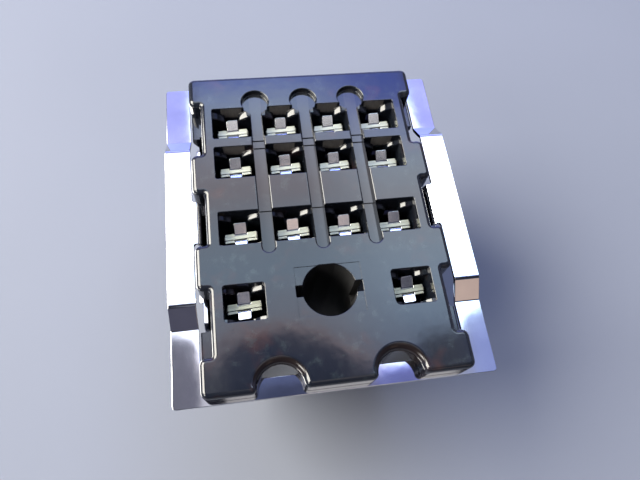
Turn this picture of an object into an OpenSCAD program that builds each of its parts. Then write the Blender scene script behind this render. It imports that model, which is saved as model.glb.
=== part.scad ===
// Panel-mount plug-in relay socket, 14 blades, with a spring mounting clip.
// Origin: bottom centre, the surface that the solder lugs stand on.
// +Z is up out of the relay face, +Y is the long way, +X is across.

/* [Overall] */
// Height from the lug tips to the relay face
overall_h = 21; // [18:0.5:26]
// Depth of the moulded body below the relay face
body_depth = 15; // [13:0.5:17]

/* [Housing] */
// Length of the top flange
flange_len = 28.5; // [28:0.1:28.8]
// Width of the top flange over its side tabs
flange_w = 20.54; // [20:0.02:20.6]
// Thickness of the flange at its ends
flange_t = 1.9; // [1.6:0.1:2.2]
// Thickness of the four middle side tabs
tab_t = 2.5; // [2.3:0.1:2.8]
// Width of the body between the side tabs
body_w = 18.6; // [18:0.1:18.8]
// Length of the body that passes through the panel
body_len = 25.6; // [24.8:0.1:25.7]
// Width over the corner blocks that centre the clip
corner_w = 20.5; // [20:0.1:20.6]
// Corner radius of the flange tabs
tab_r = 0.55; // [0.2:0.05:0.8]
// Radius of the two notches in the front edge
notch_r = 1.75; // [1.5:0.05:2]

/* [Relay footprint] */
// Pitch of the four contact columns
col_pitch = 4.4; // [4.3:0.05:4.5]
// Width of a contact pocket
pocket_w = 3.36; // [3.1:0.02:3.4]
// Height of the pocket floors above the lug tips
pocket_floor = 8.5; // [7.5:0.25:9]
// Depth of the shelf along a pocket's back wall, measured along Y
shelf_w = 0.45; // [0.4:0.01:0.5]
// How far the top of that shelf lies below the relay face
shelf_drop = 1; // [0.9:0.05:1.1]
// Half the distance between the two coil pockets
coil_x = 6.66; // [6.5:0.02:6.8]
// Radius of the central post hole
post_r = 2.18; // [2:0.02:2.3]
// Distance of the post hole in front of the centre
post_y = 7.03; // [6.9:0.01:7.2]

/* [Channels] */
// Width of the three channels between the columns
channel_w = 1.1; // [1:0.02:1.4]
// Depth of the channels at their back end
channel_d = 0.35; // [0.3:0.05:0.7]
// How much deeper each of their steps goes towards the front
channel_step = 0.1; // [0.05:0.01:0.15]
// Width of the wall left between two pockets
wall_w = 1.02; // [0.9:0.02:1.1]
// Radius of the round recess at the back of each channel
recess_r = 1.3; // [1:0.05:1.5]
// Depth of that recess
recess_d = 0.5; // [0.4:0.05:1.3]

/* [Mounting clip] */
// Width of the clip ring
clip_w = 25.06; // [24.5:0.02:26]
// Length of the clip ring
clip_len = 29; // [28.9:0.1:30]
// Sheet thickness of the clip
clip_t = 0.35; // [0.3:0.01:0.45]
// Width of the opening in the ring
ring_w = 20.8; // [20.7:0.05:21]
// Length of the opening in the ring
ring_len = 25.8; // [25.7:0.05:26]
// How far the middle of each side leg is raised
leg_rise = 1.2; // [0.8:0.1:1.4]
// Half length of the raised middle of each leg
leg_top = 6.95; // [6.5:0.05:7.2]
// Length of each sloping step
leg_step = 1.6; // [1.4:0.1:2]
// Half width of the lug that turns down on each side
lug_half = 1.9; // [1.4:0.1:2]
// Length of the plate that turns down on each side
plate_drop = 6.3; // [5:0.1:6.3]

/* [Contacts] */
// Depth of the contact tops below the relay face
contact_top = 1.6; // [1.4:0.1:2]
// Width of a contact
contact_w = 2.8; // [2.4:0.1:2.9]
// Sheet thickness of the contact spring
spring_t = 0.235; // [0.2:0.005:0.25]
// Sheet thickness of the terminal
terminal_t = 0.3; // [0.25:0.01:0.32]
// Gap between the spring's front leaf and the terminal
blade_gap = 0.05; // [0.03:0.01:0.1]
// Width of the lead-in finger on each leaf
finger_w = 1; // [0.8:0.05:1.2]
// Width of the solder lug
lug_w = 2.2; // [1.8:0.1:2.4]
// Width of the eyelet in the solder lug
eyelet_w = 1.1; // [0.8:0.1:1.3]
// Length of the eyelet in the solder lug
eyelet_len = 2.2; // [1.6:0.1:2.8]

/* [Hidden] */
$fn = 64;
e = 0.01;
T = overall_h;
bottom = T - body_depth;

// Rows of pockets: back edge and front edge of each
rows = [[10.70, 7.59], [6.68, 3.59], [0.40, -2.56], [-5.95, -8.87]];
// Middle of the contact in each row
contact_y = [9.11, 5.09, -1.28, -7.36];
// Half widths (along Y) at which the side tabs start and end
tab_mid = [2.32, 6.14];
tab_end = 11.25;
// Half width of the plain zone between the corner blocks
corner_y = 8.93;

// Distance of the front notches' middles from the centre
notch_y = 14.05;

// How far each contact of a row sits from that middle, as assembled
sit = [[0, 0, -0.08, -0.12], [0, 0, -0.1, -0.22], [0, 0, -0.02, -0.1]];

// Where each of the 14 contacts stands
places = concat(
    [for (r = [0:2]) for (c = [0:3])
        [(c - 1.5) * col_pitch, contact_y[r] + sit[r][c]]],
    [[-coil_x - 0.1, contact_y[3]], [coil_x - 0.08, contact_y[3]]]);

// A box given by its two corners
module block(a, b) {
    translate(a) cube([b[0] - a[0], b[1] - a[1], b[2] - a[2]]);
}

// A flat rectangle given by two corners
module rect(a, b) {
    translate(a) square([b[0] - a[0], b[1] - a[1]]);
}

// A flat rectangle with four rounded corners
module round_rect(a, b, r) {
    rect([a[0] + r, a[1]], [b[0] - r, b[1]]);
    rect([a[0], a[1] + r], [b[0], b[1] - r]);
    for (x = [a[0] + r, b[0] - r]) for (y = [a[1] + r, b[1] - r])
        translate([x, y]) circle(r);
}

// An outline in the Y-Z plane, made into a strip of width w centred on X
module strip(w) {
    translate([-w / 2, 0, 0]) rotate([90, 0, 90]) linear_extrude(w) children();
}

// An outline in the X-Z plane, made into a bar from y0 to y1
module bar(y0, y1) {
    translate([0, y1, 0]) rotate([90, 0, 0]) linear_extrude(y1 - y0) children();
}

// The two rounded lips at the mouth of a front notch
module arch_lips() {
    lip = 0.45;
    // middle of the round lip, seen from the middle of the notch
    q = notch_y - flange_len / 2 + lip;
    p = sqrt(pow(notch_r + lip - 0.02, 2) - q * q);
    for (s = [0, 1]) mirror([s, 0]) difference() {
        rect([notch_r - 0.1, q - lip - e], [p, q * notch_r / (notch_r + lip)]);
        translate([p, q]) circle(lip);
    }
}

// Both notches of the front edge
module arches() {
    for (x = [-4.5, 4.5]) translate([x, -notch_y]) {
        circle(notch_r);
        rect([-notch_r, -3], [notch_r, 0]);
        arch_lips();
    }
}

// Outline of the flange seen from above
module flange_outline() {
    hw = flange_w / 2;
    hl = flange_len / 2;
    rect([-body_w / 2, -hl + 1], [body_w / 2, hl - 1]);
    for (s = [0, 1]) mirror([0, s]) {
        round_rect([-hw, tab_end], [hw, hl], tab_r);
        round_rect([-hw, tab_mid[0]], [hw, tab_mid[1]], tab_r);
    }
}

// The moulded solid before its pockets are cut
module housing_solid() {
    hw = flange_w / 2;
    // top flange with its castellated sides and front notches
    translate([0, 0, T - flange_t]) linear_extrude(flange_t) difference() {
        flange_outline();
        arches();
    }
    // thicker middle tabs
    translate([0, 0, T - tab_t]) linear_extrude(tab_t - flange_t + e)
        for (s = [0, 1]) mirror([0, s])
            round_rect([-hw, tab_mid[0]], [hw, tab_mid[1]], tab_r);
    // body
    difference() {
        union() {
            block([-body_w / 2, -body_len / 2, bottom],
                  [body_w / 2, body_len / 2, T - flange_t + e]);
            // corner blocks, tapered towards the panel side
            for (s = [0, 1]) mirror([0, s]) bar(corner_y, body_len / 2)
                polygon([[-corner_w / 2, T - flange_t],
                    [-corner_w / 2, T - 2.5], [-corner_w / 2 + 0.4, T - 3.2],
                    [-corner_w / 2 + 0.4, T - 8], [-body_w / 2, T - 8.6],
                    [body_w / 2, T - 8.6], [corner_w / 2 - 0.4, T - 8],
                    [corner_w / 2 - 0.4, T - 3.2], [corner_w / 2, T - 2.5],
                    [corner_w / 2, T - flange_t]]);
            // ledges that carry the clip's two side plates
            for (s = [0, 1]) mirror([s, 0]) bar(-7.6, 7.6)
                polygon([[body_w / 2 - e, T - 0.7 - plate_drop],
                    [10.1, T - 0.7 - plate_drop],
                    [10.1, T - 1.2 - plate_drop],
                    [body_w / 2 - e, T - 2 - plate_drop]]);
        }
        translate([0, 0, bottom - e]) linear_extrude(body_depth) arches();
        // chamfer round the foot of the body
        for (s = [0, 1]) mirror([0, s]) translate([0, body_len / 2, bottom])
            rotate([45, 0, 0]) cube([30, 0.6, 0.6], center = true);
        for (s = [0, 1]) mirror([s, 0]) translate([body_w / 2, 0, bottom])
            rotate([0, 45, 0]) cube([0.6, 40, 0.6], center = true);
    }
}

// One channel between two columns, with its steps
module channel(x) {
    // round recess at the back
    translate([x, 11.3, T - recess_d]) cylinder(r = recess_r, h = 2);
    // edges of the steps, from the back to the front
    y = [11, 7.32, 6.6, 0.44, -3];
    for (i = [0:3])
        block([x - channel_w / 2, y[i + 1], T - channel_d - i * channel_step],
              [x + channel_w / 2, y[i] + e, T + 1]);
    translate([x, y[4], T - channel_d - 3 * channel_step])
        cylinder(r = channel_w / 2, h = 2);
}

// Pocket for one contact, with the slot for its terminal
module pocket(x, back, front, w, p) {
    block([x - w / 2, front, pocket_floor], [x + w / 2, back, T + 1]);
    block([p[0] - lug_w / 2, p[1] - 0.125, bottom - 1],
          [p[0] + lug_w / 2, p[1] - 0.125 + terminal_t, pocket_floor + e]);
}

// Shelf along the back wall of a pocket, with a slot of round shoulders that
// the contact's rear finger lies in
module pocket_shelf(x, back, cx, w) {
    top = T - shelf_drop;
    half = finger_w / 2 + 0.12;
    r = 0.75;
    bar(back - shelf_w, back + e) difference() {
        rect([x - w / 2 - e, pocket_floor - e], [x + w / 2 + e, top]);
        rect([cx - half, top - 1.5], [cx + half, top + 1]);
        for (s = [-1, 1]) translate([cx + s * (half + r), top - r]) difference() {
            rect([min(0, -s * (r + e)), 0], [max(0, -s * (r + e)), r + e]);
            circle(r);
        }
    }
}

module housing() {
    color([0.10, 0.10, 0.12]) difference() {
        housing_solid();
        difference() {
            union() {
                for (r = [0:2]) for (c = [0:3])
                    pocket((c - 1.5) * col_pitch, rows[r][0], rows[r][1],
                           pocket_w, places[4 * r + c]);
                for (s = [0, 1])
                    pocket((2 * s - 1) * coil_x, rows[3][0], rows[3][1],
                           3.22, places[12 + s]);
            }
            for (r = [0:2]) for (c = [0:3])
                pocket_shelf((c - 1.5) * col_pitch, rows[r][0],
                             places[4 * r + c][0], pocket_w);
            for (s = [0, 1])
                pocket_shelf((2 * s - 1) * coil_x, rows[3][0],
                             places[12 + s][0], 3.22);
        }
        for (x = [-1, 0, 1]) channel(x * col_pitch);
        // post hole with two keyways, in a shallow square recess
        translate([0, -post_y, bottom - 1]) cylinder(r = post_r, h = 20);
        block([-2.66, -post_y - 0.4, T - 4], [2.66, -post_y + 0.52, T + 1]);
        block([-2.64, -9.05, T - 0.12], [2.64, -5, T + 1]);
    }
}

// Points of a fillet of radius r at corner q, between p and s
function fillet(p, q, s, r, n = 5) =
    let (u = (p - q) / norm(p - q), v = (s - q) / norm(s - q),
         a = acos(u * v) / 2, d = r / tan(a), th = 180 - 2 * a,
         c = q + (u + v) / norm(u + v) * r / sin(a),
         w0 = q + u * d - c, w1 = q + v * d - c)
    [for (i = [0:n]) let (k = i / n)
        c + (sin((1 - k) * th) * w0 + sin(k * th) * w1) / sin(th)];

// Upper face of a side leg, from the front end to the back end, with the
// outer faces of its upward bends of radius ru and of its downward bends rd
function leg_line(z0, z1, y1, y2, ye, ru, rd) = concat(
    [[-ye, z0]],
    fillet([-ye, z0], [-y2, z0], [-y1, z1], rd),
    fillet([-y2, z0], [-y1, z1], [y1, z1], ru),
    fillet([-y1, z1], [y1, z1], [y2, z0], ru),
    fillet([y1, z1], [y2, z0], [ye, z0], rd),
    [[ye, z0]]);

function flip(v) = [for (i = [len(v) - 1:-1:0]) v[i]];

// Raised side leg of the clip seen from the side
module leg_profile() {
    z0 = T - flange_t;
    z1 = z0 + leg_rise;
    ye = ring_len / 2 + 0.5;
    // shift of the lower face's corners that keeps the sheet one thickness
    k = clip_t * tan(atan(leg_rise / leg_step) / 2);
    polygon(concat(
        leg_line(z0, z1, leg_top, leg_top + leg_step, ye, 0.55, 0.2),
        flip(leg_line(z0 - clip_t, z1 - clip_t, leg_top - k,
            leg_top + leg_step - k, ye, 0.2, 0.55))));
}

// Side plate of the clip: lug, bend and T-shaped plate with two barbs
module side_plate() {
    z1 = T - flange_t + leg_rise;
    zb = z1 - plate_drop;
    xo = 9.7 + clip_t;
    xi = 9.7;
    rb = 0.2;
    // lug and bend
    bar(-lug_half, lug_half) {
        difference() {
            translate([xo + rb, z1 - clip_t - rb]) circle(clip_t + rb);
            translate([xo + rb, z1 - clip_t - rb]) circle(rb);
            rect([xo + rb, zb], [ring_w, z1 + 1]);
            rect([xi - 1, zb], [ring_w, z1 - clip_t - rb]);
        }
        rect([xo + rb - e, z1 - clip_t], [ring_w / 2 + e, z1]);
        rect([xi, zb], [xo, z1 - clip_t - rb + e]);
    }
    // wings, with a window behind each barb
    difference() {
        translate([xi, 0, 0]) rotate([90, 0, 90]) linear_extrude(clip_t)
            polygon([[-8.85, zb + 1.2], [-7.65, zb], [7.65, zb],
                [8.85, zb + 1.2], [8.85, T - 3.4], [8.05, T - 2.6],
                [-8.05, T - 2.6], [-8.85, T - 3.4]]);
        for (y = [-5, 5]) block([xi - 1, y - 0.9, zb + 1.7],
                                [xo + 1, y + 0.9, T - 3.9]);
    }
    // barbs lanced outwards
    for (y = [-5, 5]) bar(y - 0.8, y + 0.8)
        polygon([[xi, zb + 1.69], [xo, zb + 1.69], [xo, zb + 1.9],
                 [xo + 0.5, T - 4.15], [xo + 0.17, T - 4.15],
                 [xi, zb + 1.95]]);
}

module mounting_clip() {
    z0 = T - flange_t;
    color([0.80, 0.80, 0.84]) {
        // end bars
        for (s = [0, 1]) mirror([0, s])
            block([-clip_w / 2, ring_len / 2, z0 - clip_t],
                  [clip_w / 2, clip_len / 2, z0]);
        // side legs, each with its plate
        for (s = [0, 1]) mirror([s, 0]) {
            translate([(clip_w + ring_w) / 4, 0, 0])
                strip((clip_w - ring_w) / 2) leg_profile();
            side_plate();
        }
    }
}

// One folded contact spring, standing at the origin of its pocket
module contact_spring(i) {
    b0 = -0.125;              // front face of the terminal
    a0 = b0 + terminal_t;     // front face of the rear leaf
    a1 = a0 + spring_t;
    c1 = b0 - blade_gap;      // rear face of the front leaf
    c0 = c1 - spring_t;
    bow = 0.575;              // how far the front leaf bows forward
    zt = T - contact_top;
    zu = pocket_floor + 0.8;
    yc = (a1 + c0 - bow) / 2;
    ro = (a1 - c0 + bow) / 2;
    color([0.86, 0.85, 0.76]) translate([places[i][0], places[i][1], 0]) {
        difference() {
            strip(contact_w) {
                rect([a0, zu - e], [a1, zt]);
                polygon([[c0 - bow, zu - e], [c1 - bow, zu - e],
                    [c1 - bow, zt - 4.2], [c1, zt - 1.3], [c1, zt],
                    [c0, zt], [c0, zt - 1.3], [c0 - bow, zt - 4.2]]);
                difference() {
                    translate([yc, zu]) circle(ro);
                    translate([yc, zu]) circle(ro - spring_t);
                    rect([-3, zu], [3, zu + 2]);
                }
            }
            // window that the neck of the terminal passes through
            block([-0.75, b0 - 0.15, zu - 1], [0.75, a0, zu + 0.4]);
        }
        strip(finger_w) {
            translate([a0 + spring_t / 2, zt - 0.05]) rotate(26.5)
                rect([-0.1, -spring_t / 2], [0.99, spring_t / 2]);
            translate([c1 - spring_t / 2, zt - 0.08]) rotate(172)
                rect([-0.1, -spring_t / 2], [0.86, spring_t / 2]);
        }
    }
}

// One flat terminal, from the relay blade down to the solder lug
module terminal(i) {
    b0 = -0.125;
    zt = T - contact_top;
    color([0.88, 0.87, 0.82]) translate([places[i][0], places[i][1], 0])
        bar(b0, b0 + terminal_t) difference() {
            union() {
                rect([-contact_w / 2, pocket_floor + 1.9], [contact_w / 2, zt]);
                rect([-0.6, pocket_floor - 0.3], [0.6, pocket_floor + 1.95]);
                polygon([[-lug_w / 2, pocket_floor - 0.3],
                    [-lug_w / 2, 0.8], [-0.55, 0], [0.55, 0],
                    [lug_w / 2, 0.8], [lug_w / 2, pocket_floor - 0.3]]);
            }
            // eyelet for the wire
            for (z = [1.4 + eyelet_w / 2, 1.4 + eyelet_len - eyelet_w / 2])
                translate([0, z]) circle(eyelet_w / 2);
            rect([-eyelet_w / 2, 1.4 + eyelet_w / 2],
                 [eyelet_w / 2, 1.4 + eyelet_len - eyelet_w / 2]);
        }
}

housing();
mounting_clip();
contact_spring(0);  // contact_spring_01
contact_spring(1);  // contact_spring_02
contact_spring(2);  // contact_spring_03
contact_spring(3);  // contact_spring_04
contact_spring(4);  // contact_spring_05
contact_spring(5);  // contact_spring_06
contact_spring(6);  // contact_spring_07
contact_spring(7);  // contact_spring_08
contact_spring(8);  // contact_spring_09
contact_spring(9);  // contact_spring_10
contact_spring(10);  // contact_spring_11
contact_spring(11);  // contact_spring_12
contact_spring(12);  // contact_spring_13
contact_spring(13);  // contact_spring_14
terminal(0);  // terminal_01
terminal(1);  // terminal_02
terminal(2);  // terminal_03
terminal(3);  // terminal_04
terminal(4);  // terminal_05
terminal(5);  // terminal_06
terminal(6);  // terminal_07
terminal(7);  // terminal_08
terminal(8);  // terminal_09
terminal(9);  // terminal_10
terminal(10);  // terminal_11
terminal(11);  // terminal_12
terminal(12);  // terminal_13
terminal(13);  // terminal_14
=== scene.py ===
"""Relay socket: finished pieces, materials, light and camera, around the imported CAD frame."""
import math
import random

import bmesh
import bpy
from mathutils import Matrix, Vector

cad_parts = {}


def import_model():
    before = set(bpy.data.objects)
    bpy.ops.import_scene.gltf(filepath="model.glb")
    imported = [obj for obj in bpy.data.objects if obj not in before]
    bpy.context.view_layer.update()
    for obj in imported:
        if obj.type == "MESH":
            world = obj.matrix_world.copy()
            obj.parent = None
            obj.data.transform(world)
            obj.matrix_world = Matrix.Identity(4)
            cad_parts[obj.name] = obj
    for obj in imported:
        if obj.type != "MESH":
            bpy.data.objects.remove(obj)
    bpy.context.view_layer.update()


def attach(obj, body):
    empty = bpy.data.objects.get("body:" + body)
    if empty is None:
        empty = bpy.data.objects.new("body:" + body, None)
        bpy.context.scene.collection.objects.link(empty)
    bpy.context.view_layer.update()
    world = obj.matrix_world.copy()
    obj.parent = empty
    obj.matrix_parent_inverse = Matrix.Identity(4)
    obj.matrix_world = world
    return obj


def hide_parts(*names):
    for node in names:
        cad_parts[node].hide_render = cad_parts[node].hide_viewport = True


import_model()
SCENE = bpy.context.scene

# ------------------------------------------------------------------ sizes, mm
T = 21.0                      # relay face
BOTTOM = 6.0                  # underside of the moulded body
FL_W, FL_L, FL_T = 20.54, 28.5, 1.9
FLOOR = 8.5                   # pocket floors
ROWS = [(10.70, 7.59), (6.68, 3.59), (0.40, -2.56), (-5.95, -8.87)]
CONTACT_Y = [9.11, 5.09, -1.28, -7.36]
SIT = [(0, 0, -0.08, -0.12), (0, 0, -0.10, -0.22), (0, 0, -0.02, -0.10)]
PITCH = 4.4
POCKET_W = 3.36
COIL_X, COIL_W = 6.66, 3.22
PLACES = [((c - 1.5) * PITCH, CONTACT_Y[r] + SIT[r][c]) for r in range(3) for c in range(4)]
PLACES += [(-COIL_X - 0.1, CONTACT_Y[3]), (COIL_X - 0.08, CONTACT_Y[3])]
POCKETS = [((c - 1.5) * PITCH, ROWS[r], POCKET_W) for r in range(3) for c in range(4)]
POCKETS += [(-COIL_X, ROWS[3], COIL_W), (COIL_X, ROWS[3], COIL_W)]
POST_Y, POST_R = -7.03, 2.15
rnd = random.Random(41)


# ------------------------------------------------------------- mesh utilities
def mesh_obj(name, verts, faces):
    me = bpy.data.meshes.new(name)
    me.from_pydata([tuple(v) for v in verts], [], faces)
    me.update()
    ob = bpy.data.objects.new(name, me)
    SCENE.collection.objects.link(ob)
    return ob


def tidy(ob):
    """Outward normals."""
    bm = bmesh.new()
    bm.from_mesh(ob.data)
    bmesh.ops.recalc_face_normals(bm, faces=bm.faces)
    bm.to_mesh(ob.data)
    bm.free()
    return ob


def bake(ob):
    """Applies the modifiers to the mesh."""
    dg = bpy.context.evaluated_depsgraph_get()
    dg.update()
    me = bpy.data.meshes.new_from_object(ob.evaluated_get(dg), depsgraph=dg)
    old = ob.data
    ob.modifiers.clear()
    ob.data = me
    bpy.data.meshes.remove(old)
    return ob


def drop(ob):
    me = ob.data
    bpy.data.objects.remove(ob)
    bpy.data.meshes.remove(me)


def combine(ob, tool, op):
    m = ob.modifiers.new("op", "BOOLEAN")
    m.operation = op
    m.solver = "MANIFOLD"
    m.object = tool
    bake(ob)
    drop(tool)
    return ob


def cut(ob, tool):
    return combine(ob, tool, "DIFFERENCE")


def add(ob, tool):
    return combine(ob, tool, "UNION")


def join(name, obs):
    """One mesh of several separate solids."""
    verts, faces = [], []
    for o in obs:
        k = len(verts)
        verts += [tuple(v.co) for v in o.data.vertices]
        faces += [tuple(k + i for i in p.vertices) for p in o.data.polygons]
        drop(o)
    return mesh_obj(name, verts, faces)


def arc(cx, cy, r, a0, a1, n):
    out = []
    for i in range(n + 1):
        a = math.radians(a0 + (a1 - a0) * i / n)
        out.append((cx + r * math.cos(a), cy + r * math.sin(a)))
    return out


def clean(pts, eps=1e-5):
    out = []
    for p in pts:
        if not out or math.hypot(p[0] - out[-1][0], p[1] - out[-1][1]) > eps:
            out.append(p)
    if math.hypot(out[0][0] - out[-1][0], out[0][1] - out[-1][1]) <= eps:
        out.pop()
    return out


def inset(pts, d):
    """The closed counter-clockwise outline moved inwards by d (outwards where d is negative)."""
    n = len(pts)
    out = []
    for i in range(n):
        p0, p1, p2 = Vector(pts[i - 1]), Vector(pts[i]), Vector(pts[(i + 1) % n])
        e0, e1 = (p1 - p0).normalized(), (p2 - p1).normalized()
        n0, n1 = Vector((e0.y, -e0.x)), Vector((e1.y, -e1.x))
        k = 1 + n0.dot(n1)
        out.append(tuple(p1 - (n0 + n1) * (d / max(k, 0.3))))
    return out


def loft(name, rings):
    """A closed solid through rings of equal length, from the lowest to the highest."""
    n = len(rings[0])
    verts = [p for r in rings for p in r]
    faces = []
    for k in range(len(rings) - 1):
        a, b = k * n, (k + 1) * n
        for i in range(n):
            j = (i + 1) % n
            faces.append((a + i, a + j, b + j, b + i))
    faces.append(tuple(range(n - 1, -1, -1)))
    faces.append(tuple(range((len(rings) - 1) * n, len(rings) * n)))
    return mesh_obj(name, verts, faces)


def level(pts, z, d=0.0):
    return [(x, y, z) for x, y in (inset(pts, d) if d else pts)]


def flared(name, pts, z0, top, rho, up=1.0, n=4, toe=0.0):
    """A cutter whose mouth at height top leaves a rounded edge of radius rho.
    toe is the radius left where the wall meets the floor."""
    rings = [level(pts, z0)]
    if toe:
        rings = []
        for i in range(4):
            a = math.radians(30 * i)
            rings.append(level(pts, z0 + toe * (1 - math.cos(a)), toe * (1 - math.sin(a))))
    for i in range(n + 1):
        a = math.radians(90 * i / n)
        rings.append(level(pts, top - rho + rho * math.sin(a), -rho * (1 - math.cos(a))))
    rings.append(level(pts, top + up, -rho))
    return loft(name, rings)


def round_rect(x0, y0, x1, y1, r, n=5):
    """Counter-clockwise; r is one radius, or four: front left, front right, back right, back left."""
    r = [r] * 4 if isinstance(r, (int, float)) else list(r)
    pts = arc(x0 + r[0], y0 + r[0], r[0], 180, 270, n)
    pts += arc(x1 - r[1], y0 + r[1], r[1], 270, 360, n)
    pts += arc(x1 - r[2], y1 - r[2], r[2], 0, 90, n)
    pts += arc(x0 + r[3], y1 - r[3], r[3], 90, 180, n)
    return clean(pts)


def prism(name, pts, w0, w1, axis):
    """An outline made into a solid: axis z takes (x, y), y takes (x, z), x takes (y, z)."""
    put = {
        "z": lambda u, v, w: (u, v, w),
        "y": lambda u, v, w: (u, w, v),
        "x": lambda u, v, w: (w, u, v),
    }[axis]
    rings = [[put(u, v, w) for u, v in pts] for w in (w0, w1)]
    return tidy(loft(name, rings))


def block(name, a, b):
    return prism(name, [(a[0], a[1]), (b[0], a[1]), (b[0], b[1]), (a[0], b[1])], a[2], b[2], "z")


def bevel(ob, width, segs=2, angle=35, clamp=True, profile=0.5):
    m = ob.modifiers.new("bevel", "BEVEL")
    m.width = width
    m.segments = segs
    m.limit_method = "ANGLE"
    m.angle_limit = math.radians(angle)
    m.use_clamp_overlap = clamp
    m.profile = profile
    m.miter_outer = "MITER_ARC"
    return bake(ob)


def dissolve(ob, angle=0.4):
    bm = bmesh.new()
    bm.from_mesh(ob.data)
    bmesh.ops.remove_doubles(bm, verts=bm.verts, dist=2e-4)
    bmesh.ops.dissolve_limit(
        bm, angle_limit=math.radians(angle), verts=bm.verts, edges=bm.edges, use_dissolve_boundaries=False
    )
    bm.to_mesh(ob.data)
    bm.free()
    return ob


def rounded(pts, n=5):
    """A closed outline of (x, y, radius) corners, each rounded by its radius."""
    out = []
    k = len(pts)
    for i in range(k):
        p, q, s = Vector(pts[i - 1][:2]), Vector(pts[i][:2]), Vector(pts[(i + 1) % k][:2])
        r = pts[i][2] if len(pts[i]) > 2 else 0
        if r <= 0:
            out.append(tuple(q))
            continue
        u, v = (p - q).normalized(), (s - q).normalized()
        half = u.angle(v) / 2
        d = r / math.tan(half)
        c = q + (u + v).normalized() * (r / math.sin(half))
        w0, w1 = q + u * d - c, q + v * d - c
        th = math.pi - 2 * half
        m = max(2, int(round(n * th / (math.pi / 2))))
        for j in range(m + 1):
            f = j / m
            out.append(tuple(c + (w0 * math.sin((1 - f) * th) + w1 * math.sin(f * th)) / math.sin(th)))
    return clean(out)


def slices(ob, axis, values):
    """Cuts extra edge loops across the mesh, where it will bend."""
    no = Vector([1.0 if i == axis else 0.0 for i in range(3)])
    bm = bmesh.new()
    bm.from_mesh(ob.data)
    for v in values:
        geom = list(bm.verts) + list(bm.edges) + list(bm.faces)
        bmesh.ops.bisect_plane(bm, geom=geom, dist=1e-5, plane_co=no * v, plane_no=no)
    bm.to_mesh(ob.data)
    bm.free()
    return ob


class Track:
    """A line in a plane, followed by its length: straight runs joined by arcs."""

    def __init__(self, start, heading, runs):
        """runs are ("line", length) or ("arc", radius, angle in degrees, left turns positive)."""
        self.parts = []
        x, y, a, s = start[0], start[1], math.radians(heading), 0.0
        for r in runs:
            if r[0] == "line":
                self.parts.append(("line", s, s + r[1], x, y, a, 0.0))
                x += math.cos(a) * r[1]
                y += math.sin(a) * r[1]
                s += r[1]
            else:
                rad, th = r[1], math.radians(r[2])
                ln = abs(th) * rad
                k = (1 if th > 0 else -1) / rad
                self.parts.append(("arc", s, s + ln, x, y, a, k))
                x += (math.sin(a + th) - math.sin(a)) / k
                y -= (math.cos(a + th) - math.cos(a)) / k
                a += th
                s += ln
        self.length = s
        self.end = (x, y, math.degrees(a))

    def at(self, s):
        """Place and heading at length s; runs on straight past both ends."""
        part = self.parts[0]
        for q in self.parts:
            if s >= q[1]:
                part = q
        kind, s0, s1, x, y, a, k = part
        d = s - s0
        if kind == "line" or d < 0:
            return x + math.cos(a) * d, y + math.sin(a) * d, a
        if d > s1 - s0 + 1e-9:
            e = a + k * (s1 - s0)
            x += (math.sin(e) - math.sin(a)) / k + math.cos(e) * (d - (s1 - s0))
            y += -(math.cos(e) - math.cos(a)) / k + math.sin(e) * (d - (s1 - s0))
            return x, y, e
        e = a + k * d
        return x + (math.sin(e) - math.sin(a)) / k, y - (math.cos(e) - math.cos(a)) / k, e

    def cuts(self, per=6.0):
        """Lengths at which arcs are divided, about every so many degrees."""
        out = []
        for kind, s0, s1, x, y, a, k in self.parts:
            if kind == "arc":
                m = max(2, int(math.ceil(math.degrees(abs(k) * (s1 - s0)) / per)))
                out += [s0 + (s1 - s0) * i / m for i in range(m + 1)]
        return sorted(set(round(v, 5) for v in out))


def reshape(ob, fn):
    for v in ob.data.vertices:
        v.co = fn(*v.co)
    ob.data.update()
    return ob


def shade(ob, angle=30):
    """Smooth shading across shallow edges, with flat faces kept exactly flat."""
    me = ob.data
    for p in me.polygons:
        p.use_smooth = True
    me.set_sharp_from_angle(angle=math.radians(angle))
    lim = math.cos(math.radians(angle))
    faces_at = [[] for _ in me.vertices]
    for p in me.polygons:
        for v in p.vertices:
            faces_at[v].append(p.index)
    nrm = [p.normal.copy() for p in me.polygons]
    wgt = [max(p.area, 1e-9) ** 1.5 for p in me.polygons]
    out = [None] * len(me.loops)
    for p in me.polygons:
        n0 = nrm[p.index]
        for li, v in zip(p.loop_indices, p.vertices):
            acc = Vector((0, 0, 0))
            for f in faces_at[v]:
                if nrm[f].dot(n0) >= lim:
                    acc += nrm[f] * wgt[f]
            out[li] = acc.normalized() if acc.length > 0 else n0
    me.normals_split_custom_set(out)
    return ob


def finish(ob, node, materials):
    """From millimetres to metres, then onto the frame."""
    ob.data.transform(Matrix.Scale(0.001, 4))
    ob.data.materials.clear()
    for m in materials:
        ob.data.materials.append(m)
    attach(ob, "root")
    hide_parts(node)
    return ob


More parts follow.
